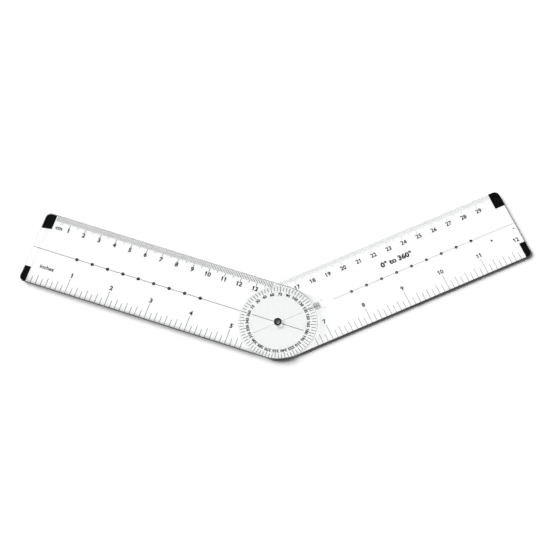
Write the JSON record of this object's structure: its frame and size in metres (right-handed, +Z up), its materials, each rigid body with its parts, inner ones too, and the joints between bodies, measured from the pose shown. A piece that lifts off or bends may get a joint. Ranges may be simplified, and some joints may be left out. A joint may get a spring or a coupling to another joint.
{
  "type": "goniometer",
  "caption": "Clear plastic angle ruler: flat ruled arms turn on a central eyelet, with a full-circle dial for reading angles and edge scales for lengths.",
  "frame": {"origin": "on the resting surface, under the middle of the bounding box of the ruler as it lies open", "axes": "+Z up through the ruler's thickness, +X from the upper arm's side to the lower arm's side, +Y into the opening of the V"},
  "size_m": [0.3062, 0.1024, 0.0033],
  "materials": {
    "lower_arm_plastic": "clear polished plastic",
    "upper_arm_plastic": "clear polished plastic with a faint cool tint",
    "printed_ink": "black screen-printed ink",
    "eyelet_black": "black lacquered metal, satin",
    "washer_nylon": "translucent nylon"
  },
  "bodies": {
    "lower_arm_body": {"lower_arm": "lower_arm_plastic", "pivot_eyelet": "eyelet_black", "spacer_washer": "washer_nylon"},
    "upper_arm_body": {"upper_arm": "upper_arm_plastic"}
  },
  "joints": [
    {"name": "arm_turn", "type": "hinge", "parent": "lower_arm_body", "child": "upper_arm_body", "pos_m": [0, -0.02751, 0.00135], "axis": [0, 0, 1], "continuous": true}
  ]
}
